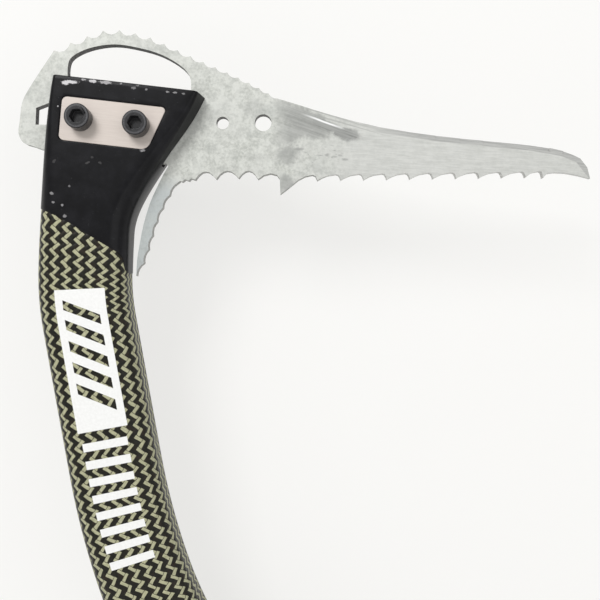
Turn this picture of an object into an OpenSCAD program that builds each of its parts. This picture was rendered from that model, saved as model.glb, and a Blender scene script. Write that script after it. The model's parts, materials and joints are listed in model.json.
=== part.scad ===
/* [Shaft] */
// Depth of the shaft tube from its back edge to its front edge
shaft_depth = 36.6; // [36:0.2:37.4]
// Thickness of the shaft tube from side to side
shaft_thick = 24; // [23.6:0.1:24.4]
// Radius of the corners of the tube's section
shaft_round = 8; // [7:0.25:9]
// Wall of the woven tube
tube_wall = 2.6; // [2.4:0.1:2.8]
// Angle of the straight grip against the vertical of the head
grip_angle = 37; // [33:1:40]
// Length of the straight part that carries the grip
grip_len = 200; // [200:2:212]

/* [Pick] */
// Thickness of the pick plate in the head
plate_thick = 4; // [3.6:0.1:4]
// Thickness of the ground blade
blade_thick = 3.2; // [2.8:0.1:3.4]
// Height of the small teeth under the blade
tooth_depth = 2.5; // [2:0.1:3]
// Depth of the scallops between the blade root's cusps
scallop_depth = 3.3; // [2.4:0.1:3.6]
// Width of the bevel along the top of the blade
bevel_width = 2.4; // [1.8:0.1:3]
// Diameter of the small accessory hole
small_hole_d = 5.2; // [4.8:0.1:5.6]
// Diameter of the large accessory hole
large_hole_d = 7; // [6.4:0.1:7.4]

/* [Head] */
// Skin of the moulded head shell
shell_wall = 2; // [1.8:0.1:2.2]
// Distance between the two pick bolts
bolt_spacing = 23.2; // [22.4:0.2:24]
// Diameter of the bolt heads
bolt_head_d = 10; // [9.6:0.1:10.4]
// Thickness of the bearing plates under the bolts
bearing_thick = 1.5; // [1.2:0.1:1.7]

/* [Handle] */
// Thickness of the rubber sleeve on the grip
sleeve_wall = 2.4; // [2:0.1:3]
// Upward travel of the grip rest at the foot of the shaft
pommel_travel = 14; // [10:1:14]
// Diameter of the leash eye in the spike
eye_d = 10; // [9:0.5:11]

/* [Hidden] */

glue = 0.05;          // gap left for a bonded joint
slip = 0.08;          // gap of a sliding fit, each side
far = 60;             // longer than anything it cuts through

// The shaft's back edge is a chain of tangent arcs: [length, turn in degrees].
edge_start = [-22.9, 19.5];
head_tilt = -10.6;
lower_turn = grip_angle - 19.8;
bends = [[26, 4.3], [20, 0.8], [34, 4.4], [24, 11.3], [62, 0.2], [52, 9.4],
         [58, lower_turn], [grip_len, 0]];
last = len(bends) - 1;
top_s = bends[0][0] + bends[1][0];
lap_s = top_s + bends[2][0] + bends[3][0];
straight_s = lap_s + bends[4][0] + bends[5][0] + bends[6][0];

function turn_radius(i) = bends[i][0] * 180 / (PI * bends[i][1]);
function step(p, r, t) = [p[0] + r * (cos(p[2]) - cos(p[2] + t)),
                          p[1] + r * (sin(p[2]) - sin(p[2] + t)), p[2] + t];
function stretch_start(i) = i == 0 ? [edge_start[0], edge_start[1], head_tilt]
    : step(stretch_start(i - 1), turn_radius(i - 1), bends[i - 1][1]);
starts = [for (i = [0:last]) stretch_start(i)];
// The back edge's point and angle at distance s, then a point u in front of it
function edge_at(s, i = 0) = i == last
    ? [starts[i][0] + s * sin(starts[i][2]), starts[i][1] - s * cos(starts[i][2]), starts[i][2]]
    : s <= bends[i][0] ? step(starts[i], turn_radius(i), bends[i][1] * s / bends[i][0])
    : edge_at(s - bends[i][0], i + 1);
function shaft_at(s, u, turn = 0) = let (p = edge_at(s), a = p[2] + turn)
    [p[0] + u * cos(a), p[1] + u * sin(a)];

// The grip frame: x forward, z up along the grip, origin at the top of its straight part.
grip_o = [starts[last][0] + shaft_depth / 2 * cos(grip_angle),
          starts[last][1] + shaft_depth / 2 * sin(grip_angle)];
eye = [-6, -grip_len - 15];
// The part's origin is the leash eye's centre.
origin = [grip_o[0] + eye[0] * cos(grip_angle) - eye[1] * sin(grip_angle),
          grip_o[1] + eye[0] * sin(grip_angle) + eye[1] * cos(grip_angle)];

module placed() translate([-origin[0], 0, -origin[1]]) children();
module in_grip() placed() translate([grip_o[0], 0, grip_o[1]]) rotate([0, -grip_angle, 0]) children();
// A flat outline in the X-Z plane, given thickness t about y
module plate(t, y = 0) translate([0, y, 0]) rotate([90, 0, 0]) linear_extrude(t, center = true) children();
// A round bar along Y through [x, z], from y1 to y2
module bar(p, d, y1, y2) translate([p[0], y1, p[1]]) rotate([-90, 0, 0])
    cylinder(d = d, h = y2 - y1, $fn = 48);

// ---- curves ----
function unit(v) = v / norm(v);
function left_of(v) = [-v[1], v[0]];
function ends(P) = concat([2 * P[0] - P[1]], P, [2 * P[len(P) - 1] - P[len(P) - 2]]);
function through(P, n) = let (Q = ends(P)) concat([for (i = [1:len(P) - 1], k = [0:n - 1])
    let (t = k / n, a = Q[i - 1], b = Q[i], c = Q[i + 1], d = Q[i + 2])
    b + (c - a) * t / 2 + (2 * a - 5 * b + 4 * c - d) * t * t / 2
    + (3 * b - a - 3 * c + d) * t * t * t / 2], [P[len(P) - 1]]);
function run(P) = [for (i = 0, s = 0; i < len(P);
    s = s + (i + 1 < len(P) ? norm(P[i + 1] - P[i]) : 0), i = i + 1) s];
function along(P, S, s, i = 0) = i == len(P) - 2 || s <= S[i + 1]
    ? P[i] + (P[i + 1] - P[i]) * (s - S[i]) / (S[i + 1] - S[i]) : along(P, S, s, i + 1);
// A hollow of depth h between two cusps, on the right of the way from a to b
function hollow(a, b, h, n) = [for (k = [0:n - 1]) let (t = k / n)
    a + (b - a) * t - left_of(unit(b - a)) * 4 * h * t * (1 - t)];
// Corners [x, z, radius] joined by straight lines, each rounded by an arc
function rounded(C, n = 6) = [for (i = [0:len(C) - 1])
    let (p = C[i], a = C[(i + len(C) - 1) % len(C)], b = C[(i + 1) % len(C)],
         v = unit([a[0] - p[0], a[1] - p[1]]), w = unit([b[0] - p[0], b[1] - p[1]]),
         half = acos(v * w) / 2, m = [p[0], p[1]] + unit(v + w) * p[2] / sin(half),
         e = m + left_of(v) * p[2] * sign(v[1] * w[0] - v[0] * w[1]),
         f = m + left_of(w) * p[2] * sign(w[1] * v[0] - w[0] * v[1]),
         a1 = atan2(e[1] - m[1], e[0] - m[0]), a2 = atan2(f[1] - m[1], f[0] - m[0]),
         turn = (a2 - a1 + 540) % 360 - 180)
    for (k = [0:n]) m + p[2] * [cos(a1 + turn * k / n), sin(a1 + turn * k / n)]];

// ---- shaft sections and sweeps ----
// The tube's section, a rounded rectangle with its back edge at x = 0, thickened by grow on every side
module section(grow = 0) {
    w = shaft_depth + 2 * grow;
    t = shaft_thick + 2 * grow;
    r = shaft_round + grow;
    translate([-grow, -t / 2]) {
        translate([r, 0]) square([w - 2 * r, t]);
        translate([0, r]) square([w, t - 2 * r]);
        for (x = [r, w - r], y = [r, t - r]) translate([x, y]) circle(r, $fn = 48);
    }
}
// A closed skin over rings of points, the first ring at the upper end. It has a cap on each end,
// or it goes on from the last ring to the first.
module skin(rings, capped = true) {
    n = len(rings[0]);
    m = len(rings);
    caps = [[for (k = [n - 1:-1:0]) k], [for (k = [0:n - 1]) (m - 1) * n + k]];
    polyhedron([for (r = rings, p = r) p],
        concat(capped ? caps : [],
            [for (i = [0:m - (capped ? 2 : 1)], k = [0:n - 1])
                let (a = i * n, b = (i + 1) % m * n, l = (k + 1) % n)
                for (f = [[a + k, b + l, b + k], [a + k, a + l, b + l]]) f]));
}
// A rounded rectangle of points across the shaft at s, from u1 to u2, of half thickness h,
// turned by turn degrees about the back edge; its front falls back by draft towards both sides
ring_arc = 6;
function flat_ring(u1, u2, h, r) = concat([[u2, 0]], [for (q = [0:3], k = [0:ring_arc])
    let (a = 90 * (q + k / ring_arc))
    [(q == 0 || q == 3 ? u2 - r : u1 + r) + r * cos(a), (q < 2 ? h - r : r - h) + r * sin(a)]]);
function ring(s, u1, u2, h, r, turn = 0, draft = 0) = [for (p = flat_ring(u1, u2, h, r))
    let (u = p[0] - draft * abs(p[1]) / h * (p[0] - u1) / (u2 - u1), m = shaft_at(s, u, turn))
    [m[0], p[1], m[1]]];
function stations(s1, s2, n) = [for (k = [0:n]) s1 + (s2 - s1) * k / n];
function tube_ring(s, grow) = ring(s, -grow, shaft_depth + grow, shaft_thick / 2 + grow, shaft_round + grow);
lap_rings = 6;
bend_rings = 22;
tube_stations = concat(stations(top_s, lap_s, lap_rings), tail(stations(lap_s, straight_s, bend_rings)),
    [straight_s + grip_len]);
function tube_rings(stations, grow) = [for (s = stations) tube_ring(s, grow)];
module grip_ring(z1, z2, outer, inner) translate([-shaft_depth / 2, 0, z1]) linear_extrude(z2 - z1)
    difference() {
        section(outer);
        section(inner);
    }

// ---- head form ----
head_top_width = 61.5;
flare_len = 62;
flare_swell = 1.45;
top_turn = 4;
turn_len = 50;
function head_width(s) = let (t = min(1, s / flare_len))
    shaft_depth + (head_top_width - shaft_depth) * (1 - t) * (1 - t) * (1 + flare_swell * t);
top_round = 1.8;
top_draft = 2.4;
function head_round(s) = let (t = min(1, s / flare_len))
    top_round + (shaft_round - top_round) * t * t * (3 - 2 * t);
function head_draft(s) = top_draft * (1 - min(1, s / flare_len));
function head_ring(s, inset) = ring(s, inset, head_width(s) - inset, shaft_thick / 2 - inset,
    max(1.2, head_round(s) - inset), top_turn * pow(1 - min(1, s / turn_len), 2), head_draft(s));
// The head's form below its top, moved in by inset, then from top_s on the tube's form grown by grow
core_rings = 10;
module head_core(inset, grow) skin(concat(
    [for (s = stations(inset, top_s - glue, core_rings)) head_ring(s, inset)],
    tube_rings(stations(top_s, lap_s, lap_rings), grow)));
// The slanted joint between the black shell and the woven tube
lap = through([[-36, -31.4], [-26.1, -35.6], [-17.6, -39.6], [-5.1, -47.3], [3.2, -52.6], [5, -55.6],
               [5.8, -60.5], [12, -70]], 4);
module above_lap() plate(far) polygon(concat(lap, [[40, -70], [60, 40], [-60, 40], [-60, -31.4]]));
module below_lap() plate(far) polygon(concat(lap, [[12, -90], [-60, -90], [-60, -31.4]]));

bolt_tilt = 6.5;
bolts = [for (k = [-1, 1]) k * bolt_spacing / 2 * [cos(bolt_tilt), -sin(bolt_tilt)]];
window = [[-19, 10.8, 2.2], [23.5, 6, 1.6], [15.4, -11.2, 4], [-20.6, -7, 2.2]];
seat_y = shaft_thick / 2 - shell_wall;
bearing_y = seat_y + bearing_thick;
slot_clear = 0.03;
// The slot in which the pick plate stands
module pick_slot(t) plate(t) polygon([[-60, 60], [80, 60], [80, -25], [22, -16.3], [-60, -6.9]]);

// ---- pick outline ----
arch = through([[-25.4, 32.2], [-17.8, 35.8], [-10.3, 38.6], [-3.4, 40.9], [2.8, 40.6], [14.3, 37.9],
                [25.1, 32.9], [35.6, 28.1], [54.4, 19.6], [67.9, 12.2]], 5);
arch_teeth = 17;
function arch_pos(k) = 7.2 * k - 3.1 / 32 * k * (k - 1);
function arch_depth(k) = 2 - 1.4 * k / arch_teeth;
function arch_edge() = let (S = run(arch), full = S[len(S) - 1], f = full / arch_pos(arch_teeth))
    [for (k = [0:arch_teeth - 1])
        let (a = along(arch, S, f * arch_pos(k)), b = along(arch, S, f * arch_pos(k + 1)))
        for (p = hollow(a, b, arch_depth(k), 4)) p];
tab_edge = through([[-34.3, -7.6], [-38.2, -6.2], [-40.2, -2.2], [-39.6, 3.3], [-38.6, 10.7],
                    [-34.9, 17.8], [-25.4, 32.2]], 3);
blade_top = through([[67.9, 12.2], [77.3, 9.4], [90.7, 5.3], [110.7, 0.3], [134.1, -3.2], [154.1, -5.2],
                     [174.1, -7.2], [187.5, -9.6], [194.4, -12.4]], 2);
tip_face = [[197.6, -16.4], [198.8, -21.1]];
beak = [[194.1, -19.8], [188.5, -18.7], [183.9, -18.5], [180.6, -19]];
tooth_x = [for (k = [0:9]) 84.6 + 9.68 * k];
function tooth_base(x) = -19.45 + 0.0155 * (x - 84.6);
function tooth_curve(t) = t < 0.8 ? pow(1 - t / 0.8, 2) : pow((t - 0.8) / 0.2, 3);
tooth_steps = [0, 0.1, 0.25, 0.45, 0.8, 0.9, 0.95, 0.98];
last_tooth = 178.9;
function tooth_edge() = [for (i = [0:9]) let (x1 = tooth_x[i], x2 = i < 9 ? tooth_x[i + 1] : last_tooth)
    for (t = tooth_steps) let (x = x1 + t * (x2 - x1)) [x, tooth_base(x) - tooth_depth * tooth_curve(t)]];
fang = [[83.8, -20.1], [82.5, -19.6], [79.6, -20.2], [76.7, -21.7], [72.5, -25.1], [69.1, -27.7],
        [68.9, -21.4], [67.7, -19.7], [65, -19], [62.1, -19.8]];
cusps = [[59.8, -21.4], [51.7, -21], [42.3, -21.4], [33.5, -21.7]];
nicks = [[33.5, -21.7], [31.8, -21.1], [30.8, -22.1], [29.3, -21.5], [28.1, -22.5], [27.2, -22.1]];
spur = through([[26.2, -23], [21.2, -30.9], [17.2, -40.1], [14.3, -49.9], [11.8, -57.2], [9, -61.9]], 4);
spur_teeth = 7;
spur_depth = 0.8;
function spur_edge() = let (S = run(spur), full = S[len(S) - 1]) [for (k = [0:spur_teeth - 1])
    let (a = along(spur, S, full * k / spur_teeth), b = along(spur, S, full * (k + 1) / spur_teeth))
    for (p = hollow(a, b, spur_depth, 4)) p];
spur_back = through([[9, -61.9], [9.3, -55.5], [10.4, -48.5], [12, -40.5], [14.5, -32], [17.1, -26],
                     [20.3, -19.5], [22.4, -16]], 2);
foot = [[21.5, -15], [-27.4, -10.1]];
function back(P) = [for (i = [len(P) - 1:-1:0]) P[i]];
function tail(P) = [for (i = [1:len(P) - 1]) P[i]];
function cusp_edge() = [for (i = [0:2]) for (p = hollow(cusps[i], cusps[i + 1], scallop_depth, 6)) p];
outline = concat(tab_edge, tail(arch_edge()), blade_top, tip_face, beak, [[last_tooth, -20.9]],
                 back(tooth_edge()), fang, cusp_edge(), nicks, spur_edge(), spur_back, foot);

crescent = through([[-19.5, 18.5], [-19.6, 25.6], [-17.6, 29.8], [-10.3, 33.3], [-0.3, 34.8],
                           [9.7, 33.4], [19.7, 30.4], [28.3, 25.2], [31.7, 20], [31.6, 12.5]], 4);
tab_hole = [[-33.1, 1.3], [-32.8, 8.3], [-27.6, 10.3], [-22.8, 10.3], [-22.8, 1.3]];

bevel_drop = 0.9;
bevel_first = 7;
bevel_fade = 4;
// Ground bevel on both sides of the blade's top edge, fading in over its first stretches
module blade_bevel() for (k = [bevel_first:len(blade_top) - 2], side = [0, 1]) {
    a = blade_top[k];
    b = blade_top[k + 1];
    v = b - a;
    h = blade_thick / 2 + 0.02;
    fall = bevel_drop * min(1, (k - bevel_first + 1) / bevel_fade);
    drop = fall / bevel_width;
    mirror([0, side, 0]) translate([a[0], 0, a[1]]) rotate([0, -atan2(v[1], v[0]), 0])
        rotate([90, 0, 90]) translate([0, 0, -0.15]) linear_extrude(norm(v) + 0.3)
            polygon([[-h - 1, -bevel_width], [-h, -bevel_width], [-h + fall + drop, 1],
                     [-h - 1, 1]]);
}

module pick() color("lightgray") placed() difference() {
    intersection() {
        plate(plate_thick) polygon(outline);
        let (p = plate_thick / 2, b = blade_thick / 2)
        translate([0, 0, -70]) linear_extrude(120)
            polygon([[-60, -p], [67, -p], [94, -b], [183, -b], [199.6, -0.9],
                     [199.6, 0.9], [183, b], [94, b], [67, p], [-60, p]]);
    }
    plate(far) polygon(crescent);
    plate(far) polygon(tab_hole);
    for (b = bolts) bar(b, 6.4, -far / 2, far / 2);
    bar([45, 2], small_hole_d, -far / 2, far / 2);
    bar([61.9, 2.1], large_hole_d, -far / 2, far / 2);
    blade_bevel();
}

tube_rebate = 1.2;
skirt_s = 86;
skirt_rings = 24;
module head_shell() color("black") placed() difference() {
    skin([for (s = stations(0, skirt_s, skirt_rings)) head_ring(s, 0)]);
    head_core(shell_wall, -tube_rebate + glue);
    below_lap();
    pick_slot(plate_thick + 0.4);
    plate(far) polygon(rounded(window));
}
module head_insert() color("silver") placed() difference() {
    head_core(shell_wall + glue, -tube_wall - glue);
    pick_slot(plate_thick + 2 * slot_clear);
    for (b = bolts) bar(b, 6.4, -far / 2, far / 2);
}

module bearing(y) color("tan") placed() difference() {
    plate(bearing_thick, y * (seat_y + bearing_thick / 2)) offset(delta = -glue) polygon(rounded(window));
    for (b = bolts) bar(b, 6.4, -far / 2, far / 2);
}
module side_plate_near() bearing(-1);
module side_plate_far() bearing(1);

bolt_head_h = 6;
washer_h = 1.6;
nut_h = 5;
module pick_bolts() color("dimgray") placed() for (b = bolts) difference() {
    union() {
        bar(b, bolt_head_d, -bearing_y - bolt_head_h, -bearing_y);
        bar(b, 6, -bearing_y, bearing_y + washer_h + nut_h + 1.5);
    }
    translate([b[0], -bearing_y - bolt_head_h - 1, b[1]]) rotate([-90, 0, 0])
        cylinder(d = 5 / cos(30), h = 4.2, $fn = 6);
}
module nut_washers() color("silver") placed() for (b = bolts) difference() {
    bar(b, 12, bearing_y, bearing_y + washer_h);
    bar(b, 6.4, 0, far);
}
module pick_nuts() color("dimgray") placed() for (b = bolts) difference() {
    translate([b[0], bearing_y + washer_h, b[1]]) rotate([-90, 0, 0])
        cylinder(d = 10 / cos(30), h = nut_h, $fn = 6);
    bar(b, 6.04, 0, far);
}

// What is taken off the tube's upper end, where the shell laps over it
module rebate() difference() {
    above_lap();
    skin(tube_rings(concat([top_s - 1], tail(stations(top_s, lap_s, lap_rings))), -tube_rebate));
}
module shaft_tube() color("darkkhaki") placed() difference() {
    skin(concat(tube_rings(tube_stations, 0), back(tube_rings(tube_stations, -tube_wall))), false);
    rebate();
    translate([grip_o[0], 0, grip_o[1]]) rotate([0, -grip_angle, 0]) foot_bores(shaft_thick);
}

// Plain white mark: a panel with slanted openings, then evenly spaced cross bars
mark_s = 88.4;
frame_len = 60;
mark_back = 8.6;
mark_width = 20.4;
margin = 3;
slant = 9;
opening = 4.4;
opening_pitch = 8.8;
function ribbon(s1, s2, u1, u2, n = 10) = concat([for (k = [0:n]) shaft_at(s1 + (s2 - s1) * k / n, u1)],
    [for (k = [n:-1:0]) shaft_at(s1 + (s2 - s1) * k / n, u2)]);
module shaft_mark() color("white") placed() plate(0.12, -shaft_thick / 2 - 0.06 - 0.01) {
    difference() {
        polygon(ribbon(mark_s, mark_s + frame_len, mark_back, mark_back + mark_width));
        for (k = [0:4]) let (s = mark_s + 4.6 + opening_pitch * k, u1 = mark_back + margin,
            u2 = mark_back + mark_width - margin)
            polygon([shaft_at(s, u1), shaft_at(s + slant, u2), shaft_at(s + slant + opening, u2),
                shaft_at(s + opening, u1)]);
    }
    for (k = [0:7]) let (s = mark_s + frame_len + 4.4 + 7.2 * k)
        polygon(ribbon(s, s + 3.4, mark_back + 1, mark_back + mark_width - 1, 2));
}

// ---- handle, in the grip frame ----
sleeve_z = [-154, -51];
rib_pitch = 6.4;
module grip_sleeve() color("black") in_grip() {
    grip_ring(sleeve_z[0], sleeve_z[1], sleeve_wall - 0.8, 0.02);
    for (k = [0:15]) let (z = sleeve_z[0] + 0.6 + rib_pitch * k)
        grip_ring(z, z + 4.6, sleeve_wall, 0.02);
}
module grip_collar() color("gray") in_grip()
    grip_ring(sleeve_z[1] + 0.02, sleeve_z[1] + 5, sleeve_wall + 0.8, 0.02);

rest_z = -26;
rest_half = 7;
liner = 1;
band = 3.4;
ear_x = -shaft_depth / 2 - liner - band - 4.5;
ear_gap = 2;
ear_half = 7.5;
rest_bolt = [ear_x, rest_z];
module split(h) translate([-shaft_depth / 2 - 20, -ear_gap / 2, rest_z - h]) cube([24, ear_gap, 2 * h]);
trigger = through([[17, -6.9], [26, -7.4], [35, -5], [42, 1.4], [45.4, 9], [44.2, 12.2], [41, 11],
                   [37, 5.6], [30, 3.4], [24, 5], [17, 6.9]], 4);
module rest_band() color("dimgray") in_grip() difference() {
    union() {
        grip_ring(rest_z - rest_half, rest_z + rest_half, liner + band, liner + slip);
        translate([0, 0, rest_z]) difference() {
            plate(17) polygon(trigger);
            translate([-shaft_depth / 2, 0, -far / 2]) linear_extrude(far) section(liner + slip);
        }
        difference() {
            hull() for (x = [ear_x, ear_x + 9]) translate([x, -ear_half, rest_z]) rotate([-90, 0, 0])
                cylinder(d = 13, h = 2 * ear_half, $fn = 32);
            translate([-shaft_depth / 2, 0, -far * 2]) linear_extrude(far * 3) section(liner + slip);
        }
    }
    split(rest_half + 1);
    bar(rest_bolt, 5.3, -far, far);
    translate([rest_bolt[0], ear_half - 2.4, rest_bolt[1]]) rotate([-90, 0, 0])
        cylinder(d = 8.2 / cos(30), h = 4, $fn = 6);
}
module rest_liner() color("black") in_grip() difference() {
    grip_ring(rest_z - rest_half, rest_z + rest_half, liner + slip - 0.02, slip);
    split(rest_half + 1);
}
module rest_screw() color("silver") in_grip() difference() {
    union() {
        bar(rest_bolt, 8.5, -ear_half - 5.06, -ear_half - 0.06);
        bar(rest_bolt, 5, -ear_half - 0.06, ear_half + 2.5);
    }
    translate([rest_bolt[0], -ear_half - 6, rest_bolt[1]]) rotate([-90, 0, 0])
        cylinder(d = 4 / cos(30), h = 3.6, $fn = 6);
}
module rest_nut() color("silver") in_grip() difference() {
    translate([rest_bolt[0], ear_half - 2.36, rest_bolt[1]]) rotate([-90, 0, 0])
        cylinder(d = 8 / cos(30), h = 4, $fn = 6);
    bar(rest_bolt, 5.12, 0, far);
}

// Collar and hook of the grip rest
pommel_z = [-grip_len + 4, -grip_len + 30];
pommel_wall = 3.4;
stud_z = -grip_len + 24;
hook_top = through([[21, 30], [27, 27.5], [35, 27], [43, 30.6], [50, 38], [55, 47.4], [57.4, 55]], 4);
hook_under = through([[61.6, 53.6], [60.6, 44], [56, 33], [48, 22.4], [38, 14], [28, 8.6], [17, 4.6]], 4);
pad_thick = 2;
function beside(P, h) = [for (i = [0:len(P) - 1]) let (a = P[max(0, i - 1)], b = P[min(len(P) - 1, i + 1)])
    P[i] + left_of(unit(b - a)) * h];
function at_foot(P) = [for (p = P) [p[0], p[1] - grip_len]];
pad_top = at_foot(hook_top);
module stud_slot() hull() for (z = [stud_z, stud_z - pommel_travel]) bar([0, z], 5.4, -far, far);
module pommel_core() translate([-shaft_depth / 2, 0, -2 * far - grip_len])
    linear_extrude(4 * far) section(slip);
module pommel() color("dimgray") in_grip() difference() {
    union() {
        grip_ring(pommel_z[0], pommel_z[1], pommel_wall, slip);
        plate(24) polygon(concat(beside(pad_top, -pad_thick), at_foot(hook_under), at_foot([[17, 4]])));
    }
    pommel_core();
    stud_slot();
}
module pommel_pad() color("black") in_grip() difference() {
    plate(25) polygon(concat(pad_top, back(beside(pad_top, -pad_thick + 0.02))));
    translate([-shaft_depth / 2, 0, -2 * far - grip_len]) linear_extrude(4 * far) section(pommel_wall + 0.02);
}

// Cross bores of the tube's foot: two for the spike's pins, one for the rest's screws
pin_d = 4;
pins = [for (x = [-7.6, 7.6]) [x, -grip_len + 12]];
module foot_bores(y) {
    for (p = pins) bar(p, pin_d + 0.04, -y, y);
    bar([0, stud_z], 5.1, -y, y);
}
stud_reach = 3;
module pommel_screws() color("silver") in_grip() for (side = [0, 1]) mirror([0, side, 0]) {
    seat = shaft_thick / 2 + pommel_wall + 0.06;
    difference() {
        union() {
            bar([0, stud_z], 9.5, -seat - 2.75, -seat);
            bar([0, stud_z], 5, -seat, -stud_reach);
        }
        translate([0, -seat - 3, stud_z]) rotate([-90, 0, 0]) cylinder(d = 3 / cos(30), h = 2.2, $fn = 6);
    }
}
spike_slot = 34;
flange = 3;
module handle_insert() color("silver") in_grip() difference() {
    union() {
        translate([-shaft_depth / 2, 0, -grip_len - 0.02]) linear_extrude(60) section(-tube_wall - glue);
        translate([-shaft_depth / 2, 0, -grip_len - flange]) linear_extrude(flange - 0.02) section();
    }
    plate(plate_thick + 2 * slot_clear) translate([-14.1, -far - grip_len]) square([28.2, far + spike_slot]);
    foot_bores(shaft_thick);
}
spike_tip = [5, -grip_len - 46];
eye_ring = 9.6;
module spike() color("lightgray") in_grip() difference() {
    plate(plate_thick) polygon(concat([[-14, spike_slot - 0.1 - grip_len], [14, spike_slot - 0.1 - grip_len],
        [14, -grip_len - 4], [12.6, -grip_len - 14], spike_tip],
        [for (a = [216:-8:136]) eye + eye_ring * [cos(a), sin(a)]], [[-14, -grip_len - 6]]));
    bar(eye, eye_d, -far, far);
    for (p = pins) bar(p, pin_d + 0.04, -far, far);
    for (side = [0, 1]) mirror([0, side, 0]) translate([0, -plate_thick / 2, -grip_len - 36])
        rotate([9, 0, 0]) translate([-far / 2, -far, -far]) cube(far);
}
module spike_pins() color("silver") in_grip()
    for (p = pins) bar(p, pin_d, -shaft_thick / 2 + 0.05, shaft_thick / 2 - 0.05);

pick();
head_shell();
head_insert();
side_plate_near();
side_plate_far();
pick_bolts();
nut_washers();
pick_nuts();
shaft_tube();
shaft_mark();
grip_sleeve();
grip_collar();
rest_band();
rest_liner();
rest_screw();
rest_nut();
pommel();
pommel_pad();
pommel_screws();
handle_insert();
spike();
spike_pins();
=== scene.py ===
import json
import math

import bmesh
import bpy
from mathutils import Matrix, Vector


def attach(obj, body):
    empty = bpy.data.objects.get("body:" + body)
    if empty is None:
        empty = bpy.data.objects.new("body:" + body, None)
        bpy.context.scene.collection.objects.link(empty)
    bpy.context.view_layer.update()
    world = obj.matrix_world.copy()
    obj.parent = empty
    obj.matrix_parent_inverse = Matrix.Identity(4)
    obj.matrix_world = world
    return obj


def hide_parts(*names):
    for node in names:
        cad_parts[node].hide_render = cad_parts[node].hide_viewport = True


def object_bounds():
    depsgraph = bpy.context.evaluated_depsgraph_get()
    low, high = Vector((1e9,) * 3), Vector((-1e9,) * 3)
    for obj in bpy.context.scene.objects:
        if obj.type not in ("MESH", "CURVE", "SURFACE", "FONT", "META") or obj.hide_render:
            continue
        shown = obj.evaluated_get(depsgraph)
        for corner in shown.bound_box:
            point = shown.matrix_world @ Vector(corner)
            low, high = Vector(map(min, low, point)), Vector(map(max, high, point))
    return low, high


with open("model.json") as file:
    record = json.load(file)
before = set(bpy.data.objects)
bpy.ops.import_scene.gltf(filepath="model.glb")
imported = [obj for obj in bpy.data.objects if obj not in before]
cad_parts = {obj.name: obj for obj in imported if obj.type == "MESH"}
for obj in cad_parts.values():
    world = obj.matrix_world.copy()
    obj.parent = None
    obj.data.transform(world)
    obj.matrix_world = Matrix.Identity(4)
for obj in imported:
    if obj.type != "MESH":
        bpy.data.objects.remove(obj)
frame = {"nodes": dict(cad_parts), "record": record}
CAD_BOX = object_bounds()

# ---- the part's dimensions, in mm, in the head's own frame: origin midway between the pick bolts ----
MM = 0.001
SHAFT_DEPTH = 36.6
SHAFT_THICK = 24.0
SHAFT_ROUND = 8.0
TUBE_WALL = 2.6
GRIP_ANGLE = 37.0
GRIP_LEN = 200.0
EDGE_START = (-22.9, 19.5)
HEAD_TILT = -10.6
BENDS = ((26, 4.3), (20, 0.8), (34, 4.4), (24, 11.3), (62, 0.2), (52, 9.4),
         (58, GRIP_ANGLE - 19.8), (GRIP_LEN, 0))
TOP_S = BENDS[0][0] + BENDS[1][0]
TUBE_END = sum(length for length, turn in BENDS)
BOLT_SPACING = 23.2
BOLT_TILT = 6.5
EYE = (-6.0, -GRIP_LEN - 15)


def edge_at(s):
    """The shaft's back edge at distance s from the top: x, z and the section's angle in degrees."""
    x, z = EDGE_START
    angle = HEAD_TILT
    for length, turn in BENDS:
        part = min(s, length)
        bend = turn * part / length
        here = math.radians(angle)
        if abs(bend) < 1e-9:
            x += part * math.sin(here)
            z -= part * math.cos(here)
        else:
            radius = part / math.radians(bend)
            there = math.radians(angle + bend)
            x += radius * (math.cos(here) - math.cos(there))
            z += radius * (math.sin(here) - math.sin(there))
        angle += bend
        s -= part
        if s <= 0:
            break
    return x, z, angle


def shaft_at(s, u, turn=0.0):
    x, z, angle = edge_at(s)
    a = math.radians(angle + turn)
    return x + u * math.cos(a), z + u * math.sin(a)


STRAIGHT_S = TUBE_END - GRIP_LEN
GRIP_O = shaft_at(STRAIGHT_S, SHAFT_DEPTH / 2)


def grip_point(x, y, z):
    """A point of the grip's frame (x forward, z up along the grip), in the head's frame."""
    a = math.radians(GRIP_ANGLE)
    return (GRIP_O[0] + x * math.cos(a) - z * math.sin(a), y,
            GRIP_O[1] + x * math.sin(a) + z * math.cos(a))


ORIGIN = grip_point(EYE[0], 0, EYE[1])


def placed(p):
    """A point of the head's frame in the scene, in metres."""
    return Vector(((p[0] - ORIGIN[0]) * MM, p[1] * MM, (p[2] - ORIGIN[2]) * MM))


# ---- mesh helpers ----
def make_piece(name, verts, faces, body, replaced, uvs=None, smooth_deg=32):
    mesh = bpy.data.meshes.new(name)
    mesh.from_pydata([placed(v) for v in verts], [], faces)
    if uvs:
        layer = mesh.uv_layers.new(name="weave")
        for loop in mesh.loops:
            layer.data[loop.index].uv = uvs[loop.vertex_index]
    mesh.validate()
    obj = bpy.data.objects.new(name, mesh)
    bpy.context.scene.collection.objects.link(obj)
    fix_normals(mesh)
    smooth(mesh, smooth_deg)
    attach(obj, body)
    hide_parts(*replaced)
    return obj


def fix_normals(mesh):
    bm = bmesh.new()
    bm.from_mesh(mesh)
    bmesh.ops.recalc_face_normals(bm, faces=bm.faces)
    bm.to_mesh(mesh)
    bm.free()


def smooth(mesh, degrees):
    for poly in mesh.polygons:
        poly.use_smooth = True
    mesh.set_sharp_from_angle(angle=math.radians(degrees))


def skin_faces(rings, count, closed_ends=True):
    """Quads between rings of count points, with a cap on each end."""
    faces = []
    for i in range(rings - 1):
        for k in range(count):
            a = i * count + k
            b = i * count + (k + 1) % count
            faces.append((a, b, b + count, a + count))
    if closed_ends:
        faces.append(tuple(range(count)))
        faces.append(tuple(reversed(range((rings - 1) * count, rings * count))))
    return faces


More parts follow.
